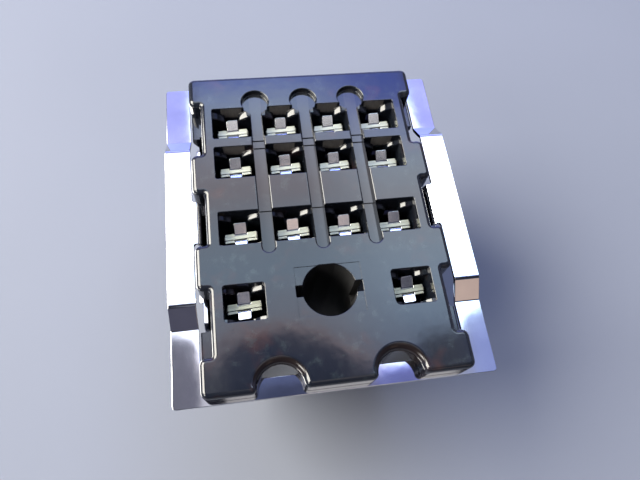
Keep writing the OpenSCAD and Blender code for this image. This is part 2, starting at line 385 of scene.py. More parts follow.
# ------------------------------------------------------------------ materials
class Nodes:
    """Short hand for a material's nodes."""

    def __init__(self, name):
        self.mat = bpy.data.materials.new(name)
        self.mat.use_nodes = True
        self.tree = self.mat.node_tree
        self.bsdf = self.tree.nodes["Principled BSDF"]
        tc = self.new("ShaderNodeTexCoord")
        mp = self.new("ShaderNodeMapping")
        mp.inputs["Scale"].default_value = (1000, 1000, 1000)
        self.link(tc.outputs["Object"], mp.inputs["Vector"])
        self.mm = mp.outputs["Vector"]

    def new(self, kind, **kw):
        n = self.tree.nodes.new(kind)
        for k, v in kw.items():
            setattr(n, k, v)
        return n

    def link(self, a, b):
        self.tree.links.new(a, b)

    def set(self, **kw):
        for k, v in kw.items():
            self.bsdf.inputs[k.replace("_", " ")].default_value = v

    def stretch(self, sx, sy, sz):
        m = self.new("ShaderNodeMapping")
        m.inputs["Scale"].default_value = (sx, sy, sz)
        self.link(self.mm, m.inputs["Vector"])
        return m.outputs["Vector"]

    def noise(self, scale, detail=3.0, rough=0.5, vec=None, dist=0.0):
        n = self.new("ShaderNodeTexNoise")
        n.inputs["Scale"].default_value = scale
        n.inputs["Detail"].default_value = detail
        n.inputs["Roughness"].default_value = rough
        n.inputs["Distortion"].default_value = dist
        self.link(vec or self.mm, n.inputs["Vector"])
        return n.outputs["Fac"]

    def ramp(self, fac, stops):
        n = self.new("ShaderNodeValToRGB")
        el = n.color_ramp.elements
        while len(el) < len(stops):
            el.new(0.5)
        for e, (p, c) in zip(el, stops):
            e.position = p
            e.color = (c, c, c, 1) if isinstance(c, (int, float)) else (*c, 1)
        self.link(fac, n.inputs["Fac"])
        return n.outputs["Color"]

    def range(self, fac, lo, hi, a=0.0, b=1.0):
        n = self.new("ShaderNodeMapRange")
        n.inputs["From Min"].default_value = lo
        n.inputs["From Max"].default_value = hi
        n.inputs["To Min"].default_value = a
        n.inputs["To Max"].default_value = b
        self.link(fac, n.inputs["Value"])
        return n.outputs["Result"]

    def math(self, op, a, b=None):
        n = self.new("ShaderNodeMath", operation=op)
        for i, v in enumerate((a, b)):
            if v is None:
                continue
            if isinstance(v, (int, float)):
                n.inputs[i].default_value = v
            else:
                self.link(v, n.inputs[i])
        return n.outputs["Value"]

    def mix(self, fac, a, b):
        n = self.new("ShaderNodeMix", data_type="RGBA")
        ins = [i for i in n.inputs if i.enabled]
        for s, v in zip(ins, (fac, a, b)):
            if isinstance(v, (int, float)):
                s.default_value = v
            elif isinstance(v, tuple):
                s.default_value = (*v, 1)
            else:
                self.link(v, s)
        return [o for o in n.outputs if o.enabled][0]

    def bump(self, height, distance, strength=1.0, normal=None):
        n = self.new("ShaderNodeBump")
        n.inputs["Strength"].default_value = strength
        n.inputs["Distance"].default_value = distance
        self.link(height, n.inputs["Height"])
        if normal is not None:
            self.link(normal, n.inputs["Normal"])
        return n.outputs["Normal"]


def black_plastic():
    m = Nodes("black_plastic")
    # colour: nearly black phenolic, with faint flow streaks, brownish clouds and grey specks
    flow = m.noise(0.22, 4, 0.6, m.stretch(1.0, 0.35, 1.0), dist=0.8)
    base = m.mix(m.range(flow, 0.3, 0.7), (0.0045, 0.0062, 0.0105), (0.0085, 0.0095, 0.0135))
    brown = m.range(m.noise(0.36, 3, 0.55), 0.57, 0.76)
    base = m.mix(m.math("MULTIPLY", brown, 0.8), base, (0.027, 0.0125, 0.0115))
    pale = m.range(m.noise(0.9, 4, 0.66), 0.54, 0.74)
    base = m.mix(m.math("MULTIPLY", pale, 0.85), base, (0.019, 0.025, 0.028))
    specks = m.range(m.noise(16.0, 2, 0.5), 0.69, 0.75)
    base = m.mix(m.math("MULTIPLY", specks, 0.10), base, (0.20, 0.20, 0.21))
    # the channel floors are a little paler
    sep = m.new("ShaderNodeSeparateXYZ")
    m.link(m.mm, sep.inputs[0])
    pp = m.math("PINGPONG", sep.outputs["X"], PITCH / 2)
    lane = m.math("MULTIPLY", m.range(pp, 0.50, 0.56, 1.0, 0.0), m.range(sep.outputs["Y"], -3.7, -3.6))
    lane = m.math("MULTIPLY", lane, m.math("MULTIPLY", m.range(sep.outputs["Z"], 20.2, 20.25), m.range(sep.outputs["Z"], 20.72, 20.8, 1.0, 0.0)))
    base = m.mix(m.math("MULTIPLY", lane, 0.6), base, (0.022, 0.0225, 0.025))
    # the post hole's deep walls: painted shade, a near-black colour for the shade inside the deep hole, and rougher
    dy = m.math("ADD", sep.outputs["Y"], -POST_Y)
    rr = m.math("ADD", m.math("MULTIPLY", sep.outputs["X"], sep.outputs["X"]), m.math("MULTIPLY", dy, dy))
    hole = m.math("MULTIPLY", m.range(rr, 6.9, 7.1, 1.0, 0.0), m.range(sep.outputs["Z"], 20.84, 20.87, 1.0, 0.0))
    base = m.mix(hole, base, (0.0022, 0.0022, 0.0026))
    # painted reflection: a paler, streaked brownish grey on the back walls of the two rear rows, standing in for the
    # light they mirror; and painted shade: a near-black colour inside the front notches; both rougher
    dist = m.math("MINIMUM", m.math("ABSOLUTE", m.math("ADD", sep.outputs["Y"], -ROWS[0][0])),
                  m.math("ABSOLUTE", m.math("ADD", sep.outputs["Y"], -ROWS[1][0])))
    back_wall_sheen = m.math("MULTIPLY", m.range(dist, 0.02, 0.05, 1.0, 0.0), m.range(pp, 1.22, 1.34))
    back_wall_sheen = m.math("MULTIPLY", back_wall_sheen, m.math("MULTIPLY", m.range(sep.outputs["Z"], 19.5, 19.9), m.range(sep.outputs["Z"], 20.92, 20.97, 1.0, 0.0)))
    sheen_streaks = m.range(m.noise(1.0, 3, 0.6, m.stretch(9.0, 1.0, 1.6)), 0.35, 0.65, 0.55, 1.0)
    back_wall_sheen = m.math("MULTIPLY", back_wall_sheen, sheen_streaks)
    # painted reflection: paler colour on the back walls of the two rear rows
    base = m.mix(back_wall_sheen, base, (0.115, 0.106, 0.098))
    nx = m.math("ADD", m.math("ABSOLUTE", sep.outputs["X"]), -4.5)
    ny = m.math("ADD", sep.outputs["Y"], 14.05)
    nr = m.math("ADD", m.math("MULTIPLY", nx, nx), m.math("MULTIPLY", ny, ny))
    notch_shade = m.math("MULTIPLY", m.range(nr, 5.6, 6.0, 1.0, 0.0), m.range(sep.outputs["Y"], -13.5, -13.2))
    notch_shade = m.math("MULTIPLY", notch_shade, m.range(sep.outputs["Z"], 20.96, 20.99, 1.0, 0.0))
    # painted shade: near-black colour on the insides of the front notches
    base = m.mix(notch_shade, base, (0.0065, 0.0042, 0.0040))
    m.link(base, m.bsdf.inputs["Base Color"])
    # gloss: polished mould surface, duller in patches, with fine scratches and wiping swirls
    patch = m.range(m.noise(0.5, 4, 0.6), 0.3, 0.72, 0.07, 0.11)
    scr = m.noise(1.0, 2, 0.4, m.stretch(28.0, 1.2, 4.0), dist=0.4)
    scratch = m.range(scr, 0.64, 0.72, 0.0, 0.07)
    turn = m.new("ShaderNodeMapping")
    turn.inputs["Rotation"].default_value = (0, 0, math.radians(-38))
    turn.inputs["Scale"].default_value = (1.1, 16.0, 1.0)
    m.link(m.mm, turn.inputs["Vector"])
    swirl = m.math("MULTIPLY", m.range(m.noise(1.0, 2, 0.5, turn.outputs["Vector"], dist=0.5), 0.58, 0.70),
                   m.range(m.noise(0.33, 2, 0.5), 0.52, 0.62))
    rough = m.math("ADD", m.math("ADD", patch, scratch), m.math("MULTIPLY", swirl, 0.10))
    rough = m.math("ADD", rough, m.math("MULTIPLY", hole, 0.62))
    rough = m.math("ADD", rough, m.math("MULTIPLY", back_wall_sheen, 0.5))
    rough = m.math("ADD", rough, m.math("MULTIPLY", notch_shade, 0.10))
    m.link(rough, m.bsdf.inputs["Roughness"])
    # relief: fine grain of the mould over a slow waviness
    n1 = m.bump(m.noise(14.0, 3, 0.65), 0.0000002)
    n2 = m.bump(m.noise(0.55, 2, 0.5), 0.000007, 1.0, n1)
    m.link(n2, m.bsdf.inputs["Normal"])
    m.set(Metallic=0.0, IOR=1.52)
    return m.mat


def clip_metal():
    m = Nodes("clip_metal")
    grain = m.noise(1.0, 4, 0.7, m.stretch(22.0, 0.8, 22.0))
    cloud = m.noise(0.35, 3, 0.55)
    col = m.mix(m.range(cloud, 0.3, 0.7), (0.60, 0.60, 0.625), (0.70, 0.70, 0.715))
    col = m.mix(m.range(grain, 0.25, 0.8, 0.0, 0.22), col, (0.46, 0.46, 0.50))
    m.link(col, m.bsdf.inputs["Base Color"])
    rough = m.math("ADD", m.range(cloud, 0.3, 0.7, 0.045, 0.075), m.range(grain, 0.3, 0.75, -0.01, 0.02))
    m.link(rough, m.bsdf.inputs["Roughness"])
    n1 = m.bump(grain, 0.00000006)
    n2 = m.bump(m.noise(0.5, 2, 0.5), 0.000004, 1.0, n1)
    m.link(n2, m.bsdf.inputs["Normal"])
    m.set(Metallic=1.0)
    return m.mat


def spring_metal(name, base_a, base_b, ra, rb, painted_front_shade=None):
    m = Nodes(name)
    cloud = m.noise(1.6, 4, 0.6)
    grain = m.noise(1.0, 3, 0.7, m.stretch(4.0, 30.0, 30.0))
    col = m.mix(m.range(cloud, 0.3, 0.7), base_a, base_b)
    if painted_front_shade:
        # painted shade: the colour darkens towards the front rows (towards -Y), standing in for how the light falls
        # there
        sep = m.new("ShaderNodeSeparateXYZ")
        m.link(m.mm, sep.inputs[0])
        col = m.mix(m.range(sep.outputs["Y"], -9.0, 10.5, 0.62, 0.0), col, painted_front_shade)
    spots = m.range(m.noise(6.0, 3, 0.6), 0.62, 0.78, 0.0, 0.2)
    col = m.mix(spots, col, tuple(0.7 * c for c in base_a))
    m.link(col, m.bsdf.inputs["Base Color"])
    rough = m.math("ADD", m.range(cloud, 0.3, 0.7, ra, rb), m.range(grain, 0.3, 0.75, -0.03, 0.04))
    m.link(rough, m.bsdf.inputs["Roughness"])
    m.link(m.bump(grain, 0.000002), m.bsdf.inputs["Normal"])
    m.set(Metallic=1.0)
    return m.mat


MAT_BLACK = black_plastic()
MAT_CLIP = clip_metal()
MAT_SPRING = spring_metal("spring_plating", (0.635, 0.64, 0.65), (0.735, 0.74, 0.75), 0.14, 0.21)
# sheared edges; the last colour is painted shade towards the front rows
MAT_EDGE = spring_metal("sheared_edge", (0.43, 0.43, 0.33), (0.52, 0.52, 0.42), 0.50, 0.62, (0.17, 0.18, 0.14))
MAT_TERM = spring_metal("terminal_plating", (0.70, 0.69, 0.62), (0.80, 0.79, 0.73), 0.26, 0.36)


# -------------------------------------------------------------------- housing
NOTCH_R, NOTCH_Y, LIP = 1.75, 14.05, 0.45


def notch(x, n=36):
    """One front notch, from its left lip to its right lip, as (x, y, radius of the top edge)."""
    q = NOTCH_Y - FL_L / 2 + LIP
    p = math.sqrt((NOTCH_R + LIP) ** 2 - q * q)
    tip = math.degrees(math.atan2(q, p))
    out = [(u, v, 0.42) for u, v in arc(x - p, q - NOTCH_Y, LIP, -90, -tip, 7)]
    for u, v in arc(x, -NOTCH_Y, NOTCH_R, 180 - tip, tip, n):
        k = max(0.0, (v + NOTCH_Y) / NOTCH_R)
        out.append((u, v, 0.42 + 0.24 * math.sqrt(k)))
    out += [(u, v, 0.42) for u, v in arc(x + p, q - NOTCH_Y, LIP, 180 + tip, 270, 7)]
    return out


def flange_outline():
    """Counter-clockwise outline of the flange, with its castellated sides and front notches."""
    hl = FL_L / 2
    hw = FL_W / 2
    bw = 9.3
    r, q = 0.55, 0.12
    right = notch(4.5)
    side = []
    for y0, y1 in ((-hl, -11.25), (-6.14, -2.32), (2.32, 6.14), (11.25, hl)):
        if y0 > -hl:
            side += arc(bw + q, y0 - q, q, 180, 90, 3)
        side += arc(hw - r, y0 + r, r, -90, 0, 7)
        side += arc(hw - r, y1 - r, r, 0, 90, 7)
        if y1 < hl:
            side += arc(bw + q, y1 + q, q, 270, 180, 3)
    right += [(x, y, 0.42) for x, y in side]
    left = [(-x, y, k) for x, y, k in reversed(right)]
    return clean(right + left)


def housing():
    foot = 0.12
    edge = flange_outline()
    out = [(x, y) for x, y, k in edge]
    rho = [k for x, y, k in edge]
    z0 = T - FL_T
    rings = [level(out, z0, foot), level(out, z0 + foot)]
    n = 7
    unit = inset(out, 1e-3)
    step = [((a[0] - b[0]) * 1e3, (a[1] - b[1]) * 1e3) for a, b in zip(unit, out)]
    for i in range(n + 1):
        a = math.radians(90 * i / n)
        rings.append([
            (x + u * k * (1 - math.cos(a)), y + v * k * (1 - math.cos(a)), T - k + k * math.sin(a))
            for (x, y), (u, v), k in zip(out, step, rho)
        ])
    h = loft("socket_housing", rings)

    # body with a chamfered foot
    body = round_rect(-9.3, -12.8, 9.3, 12.8, 0.25, 4)
    add(h, loft("t", [level(body, BOTTOM, 0.42), level(body, BOTTOM + 0.42), level(body, z0 + 0.3)]))

    # corner blocks that centre the clip, and the ledges under its side plates
    prof = [
        (9.0, z0 + 0.3), (9.0, 12.4), (9.3, 12.4), (9.85, 13.0), (9.85, 17.8), (10.25, 18.5), (10.25, z0 - 0.12),
        (10.13, z0), (9.6, z0 + 0.0), (9.6, z0 + 0.3),
    ]
    parts = []
    for sx in (-1, 1):
        for y0, y1 in ((-12.8, -8.93), (8.93, 12.8)):
            p = [(sx * x, z) for x, z in prof]
            if sx < 0:
                p = p[::-1]
            parts.append(prism("t", p, y0, y1, "y"))
    add(h, join("t", parts))
    parts = []
    for sx in (-1, 1):
        p = [(9.0, 14.0), (9.95, 14.0), (10.1, 13.85), (10.1, 13.5), (9.3, 12.7), (9.0, 12.7)]
        p = [(sx * x, z) for x, z in p]
        parts.append(prism("t", p, -7.6, 7.6, "y"))
    add(h, join("t", parts))

    # the thicker middle tabs
    parts = []
    for sx in (-1, 1):
        for sy in (-1, 1):
            xs = sorted((sx * 8.6, sx * FL_W / 2))
            ys = sorted((sy * 2.32, sy * 6.14))
            rr = [0.55 if (x * sx > 9) else 0.1 for x in (xs[0], xs[1], xs[1], xs[0])]
            p = round_rect(xs[0], ys[0], xs[1], ys[1], rr, 7)
            parts.append(loft("t", [level(p, T - 2.5, 0.12), level(p, T - 2.38), level(p, T - 1.2)]))
    add(h, join("t", parts))

    # front notches carried down through the body
    parts = []
    for x in (-4.5, 4.5):
        p = arc(x, -NOTCH_Y, NOTCH_R, 0, 180, 36) + [(x - NOTCH_R, -16.0), (x + NOTCH_R, -16.0)]
        parts.append(prism("t", clean(p), 5.0, z0 + 0.6, "z"))
    cut(h, join("t", parts))

    # pockets
    parts = []
    for i, (cx, (back, front), w) in enumerate(POCKETS):
        r = [0.16, 0.16, 0.14, 0.14]
        if i == 13:
            r = [0.42, 0.16, 0.2, 0.24]
        if i == 12:
            r = [0.3, 0.16, 0.2, 0.24]
        p = round_rect(cx - w / 2, front, cx + w / 2, back, r, 5)
        parts.append(flared("t", p, FLOOR, T, 0.07))
    cut(h, join("t", parts))

    # shelf along each pocket's back wall, with a slot whose sides flare into sloping shoulders
    parts = []
    for i, ((cx, (back, front), w), (px, py)) in enumerate(zip(POCKETS, PLACES)):
        top = T - 0.42 if i < 4 else T - 0.64
        deep = 0.62 if i < 4 else 0.42
        half, big = 0.62, 2.6
        x0, x1 = cx - w / 2 - 0.05, cx + w / 2 + 0.05
        # one shoulder outwards from the slot: upright side, small rounding, wide convex slope
        xc, zc = 1.65 + big * math.sin(math.radians(12)), top - big * math.cos(math.radians(12))
        slope = [(xc - big * math.sin(math.radians(t)), zc + big * math.cos(math.radians(t))) for t in range(34, 3, -2)]
        u0, z0 = slope[0]
        side = [(half, top - 1.6), (half, z0 - 0.18), (half + 0.02, z0 - 0.10), (half + 0.06, z0 - 0.04)]
        side += [q for q in slope if q[0] > half + 0.08]
        right = [(px + u, z) for u, z in side if px + u < x1]
        left = [(px - u, z) for u, z in side if px - u > x0]
        t2 = right[-1][1] + 0.002
        t3 = left[-1][1] + 0.002
        p = [(x0, FLOOR - 0.2), (x1, FLOOR - 0.2), (x1, t2)] + right[::-1]
        p += left + [(x0, t3)]
        s = prism("t", clean(p), back - deep, back + 0.3, "y")
        dip = math.tan(math.radians((17, 15, 13, 9)[min(i // 4, 3)]))
        for v in s.data.vertices:
            if v.co.z > FLOOR + 1:
                v.co.z += (v.co.y - back) * dip
        # round the front edges only
        bm = bmesh.new()
        bm.from_mesh(s.data)
        lay = bm.edges.layers.float.new("bevel_weight_edge")
        for e in bm.edges:
            a, b = e.verts
            front_edge = abs(a.co.y - (back - deep)) < 1e-4 and abs(b.co.y - (back - deep)) < 1e-4
            inside = min(a.co.z, b.co.z) > FLOOR + 1
            if front_edge and inside and abs(a.co.x - b.co.x) < 5:
                e[lay] = 1.0
        bm.to_mesh(s.data)
        bm.free()
        m = s.modifiers.new("bevel", "BEVEL")
        m.limit_method = "WEIGHT"
        m.width = 0.10
        m.segments = 3
        m.use_clamp_overlap = False
        bake(s)
        parts.append(s)
    add(h, join("t", parts))

    # small blocks in the front corners of the coil pockets and, lower, of the third row
    parts = []
    for i, (cx, (back, front), w) in enumerate(POCKETS):
        if i < 8:
            continue
        ht, wd, yd = (T - 0.22, 0.55, 0.3) if i > 11 else (T - 0.45, 0.95, 0.22)
        for sx in (-1, 1):
            xc, zc = w / 2 + 1.3 * math.sin(math.radians(10)), ht - 1.3 * math.cos(math.radians(10))
            q = [(xc - 1.3 * math.sin(math.radians(t)), zc + 1.3 * math.cos(math.radians(t))) for t in range(60, 7, -4)]
            q = [v for v in q if wd + 0.05 < v[0] < w / 2 + 0.05]
            q = [(wd, q[0][1] - 0.12), (wd + 0.02, q[0][1] - 0.05)] + q
            q += [(w / 2 + 0.05, q[-1][1] + 0.002), (w / 2 + 0.05, FLOOR - 0.2), (wd, FLOOR - 0.2)]
            q = [(cx + sx * u, v) for u, v in q]
            parts.append(prism("t", clean(q[::-1] if sx > 0 else q), front - 0.1, front + yd, "y"))
    add(h, join("t", parts))

    # terminal slots through the pocket floors
    parts = []
    for px, py in PLACES:
        p = round_rect(px - 1.1, py - 0.125, px + 1.1, py + 0.175, 0.02, 2)
        parts.append(prism("t", p, BOTTOM - 1, FLOOR + 0.05, "z"))
    cut(h, join("t", parts))

    # channels between the columns: flared mouth, then the stepped floors
    hw, rho, y1 = 0.5, 0.17, -2.94
    parts = []
    for x in (-PITCH, 0, PITCH):
        p = [(x + hw, 11.3), (x - hw, 11.3)] + arc(x, y1, hw, 180, 360, 16)
        parts.append(flared("t", clean(p), T - 0.35, T, rho, n=5, toe=0.05))
    cut(h, join("t", parts))
    for k, (b0, b1) in enumerate(((6.6, 7.32), (0.44, 6.61), (y1, 0.45))):
        parts = []
        for x in (-PITCH, 0, PITCH):
            p = [(x - hw, b0), (x + hw, b0), (x + hw, b1), (x - hw, b1)]
            if k == 2:
                p = [(x + hw, b1), (x - hw, b1)] + arc(x, y1, hw, 180, 360, 16)
            parts.append(prism("t", clean(p), T - 0.45 - 0.1 * k, T - 0.2, "z"))
        cut(h, join("t", parts))
    parts = []
    for x in (-PITCH, 0, PITCH):
        parts.append(flared("t", clean(arc(x, 11.3, 1.2, 0, 360, 64)), T - 0.5, T, 0.1, toe=0.07))
    cut(h, join("t", parts))

    # shallow square recess, post hole with a flat at its back, and the two keyways
    cut(h, flared("t", round_rect(-2.64, -9.05, 2.64, -5.0, 0.08, 3), T - 0.05, T, 0.02))
    a = math.degrees(math.acos(2.06 / POST_R))
    hole = [(x, y) for x, y in arc(0, POST_Y, POST_R, 90 + a, 450 - a, 88)]
    cut(h, flared("t", clean(hole), BOTTOM - 1, T - 0.07, 0.05))
    for sx in (-1, 1):
        xs = sorted((sx * 1.2, sx * 2.66))
        cut(h, flared("t", round_rect(xs[0], POST_Y - 0.4, xs[1], POST_Y + 0.52, 0.06, 3), T - 4, T - 0.07, 0.04))
    return h


h = housing()
dissolve(h)


def edge_report(ob):
    bm = bmesh.new()
    bm.from_mesh(ob.data)
    bad = [e for e in bm.edges if len(e.link_faces) != 2]
    print("MESH", ob.name, "verts", len(bm.verts), "faces", len(bm.faces), "open edges", len(bad), "volume", round(bm.calc_volume(), 2))
    bm.free()


edge_report(h)
shade(h, 32)
finish(h, "housing", [MAT_BLACK])


# -------------------------------------------------------------- mounting clip
def mounting_clip():
    t = 0.35
    z0 = T - FL_T - t / 2
    rise, r = 1.2, 0.375
    slope = math.degrees(math.atan2(rise, 1.6))
    tan = r * math.tan(math.radians(slope / 2))
    # half of a side leg, from its middle to its end
    leg = Track((0, z0 + rise), 0, [
        ("line", 6.95 - tan), ("arc", r, -slope), ("line", 2.0 - 2 * tan), ("arc", r, slope),
        ("line", 14.5 - 8.55 - tan),
    ])
    ve = leg.length
    # from the leg inwards, over the bend and down the side plate
    side = Track((-10.25, z0 + rise), 0, [("arc", r, -90), ("line", 5.75)])
    bend = math.pi / 2 * r

    def flat_x(z):
        return 10.25 - bend - (z0 + rise - r - z)

    # blank: a ring with a T-shaped plate on the inner edge of each leg
    c = prism("clip_sheet", round_rect(-12.53, -ve, 12.53, ve, 0.3, 5), 0, t, "z")
    vi = ve - 1.6
    tee = [
        (10.4, -1.9, 0.25), (flat_x(18.4), -1.9, 0.3), (flat_x(18.4), -8.05, 0.15), (flat_x(17.6), -8.85, 0.15),
        (flat_x(15.2), -8.85, 0.3), (flat_x(14.0), -7.65, 0.3), (flat_x(14.0), 7.65, 0.3), (flat_x(15.2), 8.85, 0.3),
        (flat_x(17.6), 8.85, 0.15), (flat_x(18.4), 8.05, 0.15), (flat_x(18.4), 1.9, 0.3), (10.4, 1.9, 0.25),
    ]
    hole = [(10.4, -vi, 0.35)] + tee + [(10.4, vi, 0.35), (-10.4, vi, 0.35)]
    hole += [(-x, y, q) for x, y, q in reversed(tee)] + [(-10.4, -vi, 0.35)]
    cut(c, prism("t", rounded(hole), -1, 1, "z"))
    # slot round each barb, which stays joined at its foot
    tools = []
    for sx in (-1, 1):
        for y in (-5, 5):
            a, b = flat_x(15.7), flat_x(17.1)
            m = flat_x(16.95)
            u = [(a, y - 0.9), (b, y - 0.9), (b, y + 0.9), (a, y + 0.9), (a, y + 0.8), (m, y + 0.8), (m, y - 0.8), (a, y - 0.8)]
            u = [(sx * x, v) for x, v in u]
            tools.append(prism("t", u if sx > 0 else u[::-1], -1, 1, "z"))
    cut(c, join("t", tools))
    dissolve(c, 0.3)
    bevel(c, 0.055, 2, 40, clamp=False)
    xs = [10.25 - v for v in side.cuts(11)]
    foot = flat_x(15.7)
    xs += [foot - 0.0, foot + 0.1, foot + 0.2, foot + 0.3]
    slices(c, 0, [x for x in xs] + [-x for x in xs])
    vs = leg.cuts(6)
    slices(c, 1, [v for v in vs] + [-v for v in vs])
    lean = math.radians(25)
    barb = Track((0, 0), 0, [("arc", 0.3 / lean, 25), ("line", 1)])

    def place(x, y, z):
        w = z - t / 2
        sx = 1 if x >= 0 else -1
        ax = abs(x)
        if ax > 10.25 or abs(y) > vi - 0.6:
            sy = 1 if y >= 0 else -1
            py, pz, h = leg.at(abs(y))
            return Vector((x, sy * (py - math.sin(h) * w), pz + math.cos(h) * w))
        px, pz, h = side.at(10.25 - ax)
        # the barbs lean outwards from their feet
        for by in (-5, 5):
            if abs(y - by) < 0.83 and foot < ax < flat_x(17.0):
                d, o, g = barb.at(ax - foot)
                zz = 15.7 + d + math.sin(g) * w
                return Vector((sx * (9.875 + o - math.cos(g) * w), y, zz))
        return Vector((sx * (-px - math.sin(-h) * w), y, pz + math.cos(h) * w))

    reshape(c, place)
    return c


c = mounting_clip()
edge_report(c)
shade(c, 35)
finish(c, "mounting_clip", [MAT_CLIP])


# ------------------------------------------------------------------- contacts
def contact_spring(i, rear, front):
    """Folded strip: both leaves, the fold below and the two lead-in fingers.
    rear and front are (angle, length) of the fingers; the angle is from +Y, upwards positive."""
    t = 0.235
    a, c = 0.2925, -0.2925
    zt, zu, rm = T - 1.6, 9.3, 0.58
    bow = 0.575
    # the leaf path runs from the front leaf's top down, round the fold and up the rear leaf
    dz = 18.1 - 15.2
    lean = math.degrees(math.atan2(bow, dz))
    rb = 4.0
    tl = rb * math.tan(math.radians(lean / 2))
    slant = math.hypot(bow, dz) - 2 * tl
    leaf = Track((c, zt), -90, [
        ("line", zt - 18.1 - tl), ("arc", rb, -lean), ("line", slant), ("arc", rb, lean),
        ("line", 15.2 - zu - tl), ("arc", rm, 180), ("line", zt - zu),
    ])
    n = leaf.length
    root = 0.20

    def turn(angle, r):
        return r * math.tan(math.radians(abs(90 - angle) / 2))

    r = 0.16
    # rear finger: up the leaf, then over towards the back
    rear_turn = 90 - rear[0]
    fr = Track((a, zt - root - 0.04), 90, [
        ("line", 0.02), ("arc", r, -rear_turn), ("line", rear[1] - turn(rear[0], r)),
    ])
    front_turn = front[0] - 90
    ff = Track((c, zt - root - 0.04), 90, [
        ("line", 0.02), ("arc", r, front_turn), ("line", front[1] - turn(180 - front[0], r)),
    ])
    lr, lf = fr.length, ff.length
    s0, s1 = root + 0.04, n - root - 0.04
    w, q = 1.4, 0.5
    g = 0.03
    out = [
        (-w, 0, 0.16), (-q - g, 0, 0.03), (-q - g, s0, 0), (-q, s0, 0), (-q, s0 - lf, 0.14), (q, s0 - lf, 0.14),
        (q, s0, 0), (q + g, s0, 0), (q + g, 0, 0.03), (w, 0, 0.16),
        (w, n, 0.16), (q + g, n, 0.03), (q + g, s1, 0), (q, s1, 0), (q, s1 + lr, 0.14), (-q, s1 + lr, 0.14),
        (-q, s1, 0), (-q - g, s1, 0), (-q - g, n, 0.03), (-w, n, 0.16),
    ]
    s = prism("spring_%02d" % i, rounded(out), 0, t, "z")
    fold = [p for p in leaf.parts if p[0] == "arc"][-1]
    mid = (fold[1] + fold[2]) / 2
    cut(s, prism("t", rounded([(-0.75, mid - 0.5, 0.1), (0.75, mid - 0.5, 0.1), (0.75, fold[2] + 0.4, 0.1), (-0.75, fold[2] + 0.4, 0.1)]), -1, 1, "z"))
    dissolve(s, 0.3)
    bevel(s, 0.042, 2, 40, clamp=False)
    cutsv = leaf.cuts(9)
    cutsv += [s0 - v for v in ff.cuts(9)] + [s1 + v for v in fr.cuts(9)]
    slices(s, 1, sorted(set(round(v, 5) for v in cutsv)))

    def place(x, v, z):
        o = z - t / 2
        if abs(x) < q + g / 2 and v < s0:
            y, zz, h = ff.at(s0 - v)
            h += math.pi
        elif abs(x) < q + g / 2 and v > s1:
            y, zz, h = fr.at(v - s1)
        else:
            y, zz, h = leaf.at(v)
        return Vector((x, y - math.sin(h) * o, zz + math.cos(h) * o))

    reshape(s, place)
    return s


def terminal(i):
    zt = T - 1.6
    b0, b1 = -0.125, 0.175
    pts = []
    pts += arc(1.4 - 0.12, zt - 0.12, 0.12, 0, 90, 4) + arc(-1.4 + 0.12, zt - 0.12, 0.12, 90, 180, 4)
    pts += [(-1.4, 10.4), (-0.6, 10.4), (-0.6, 8.2), (-1.1, 8.2), (-1.1, 0.8), (-0.55, 0.0), (0.55, 0.0), (1.1, 0.8)]
    pts += [(1.1, 8.2), (0.6, 8.2), (0.6, 10.4), (1.4, 10.4)]
    s = prism("terminal_blade_%02d" % i, clean(pts), b0, b1, "y")
    eye = arc(0, 1.95, 0.55, 180, 360, 14) + arc(0, 3.05, 0.55, 0, 180, 14)
    cut(s, prism("t", clean(eye), b0 - 1, b1 + 1, "y"))
    dissolve(s, 0.3)
    bevel(s, 0.035, 2, 40)
    return s


# angle and length of the rear and front finger of each contact
REAR = [(26.5, 1.0)] * 14
FRONT = [(172, 0.86)] * 12 + [(172, 0.72)] * 2



def slant(ob, px, k):
    """The top edges run slightly skew to the pocket."""
    for v in ob.data.vertices:
        f = min(1.0, max(0.0, (v.co.z - 15.5) / 3.6))
        v.co.y += (v.co.x - px) * k * f * f * (3 - 2 * f)
    ob.data.update()


for i, (px, py) in enumerate(PLACES):
    rx, ln = REAR[i]
    skew = 0.055 + rnd.uniform(-0.014, 0.014)
    s = contact_spring(i + 1, (rx + rnd.uniform(-1, 1), ln), FRONT[i])
    s.data.transform(Matrix.Translation((px, py, 0)))
    slant(s, px, skew)
    if i == 0:
        edge_report(s)
    for p in s.data.polygons:
        flat_top = p.normal.z > 0.9 and p.center.z > T - 1.6 - 0.03 and abs(p.center.x - px) > 0.5
        p.material_index = 1 if flat_top else 0
    idx = [p.material_index for p in s.data.polygons]
    shade(s, 40)
    finish(s, "contact_spring_%02d" % (i + 1), [MAT_SPRING, MAT_EDGE])
    for p, k in zip(s.data.polygons, idx):
        p.material_index = k
    b = terminal(i + 1)
    b.data.transform(Matrix.Translation((px, py, 0)))
    slant(b, px, skew)
    if i == 0:
        edge_report(b)
    for p in b.data.polygons:
        p.material_index = 1 if (p.normal.z > 0.9 and p.center.z > T - 1.7) else 0
    idx = [p.material_index for p in b.data.polygons]
    shade(b, 40)
    finish(b, "terminal_%02d" % (i + 1), [MAT_TERM, MAT_EDGE])
    for p, k in zip(b.data.polygons, idx):
        p.material_index = k


# ------------------------------------------------------- floor, light, camera
def floor():
    m = Nodes("floor_paper")
    base = m.mix(m.range(m.noise(0.02, 3, 0.5), 0.3, 0.7), (0.155, 0.168, 0.203), (0.165, 0.178, 0.215))
    m.link(base, m.bsdf.inputs["Base Color"])
    m.set(Roughness=0.75)
    m.bsdf.inputs["Specular IOR Level"].default_value = 0.2
    s = 1.2
    ob = mesh_obj("floor", [(-s, -s, 0), (s, -s, 0), (s, s, 0), (-s, s, 0)], [(0, 1, 2, 3)])
    ob.data.materials.append(m.mat)


floor()


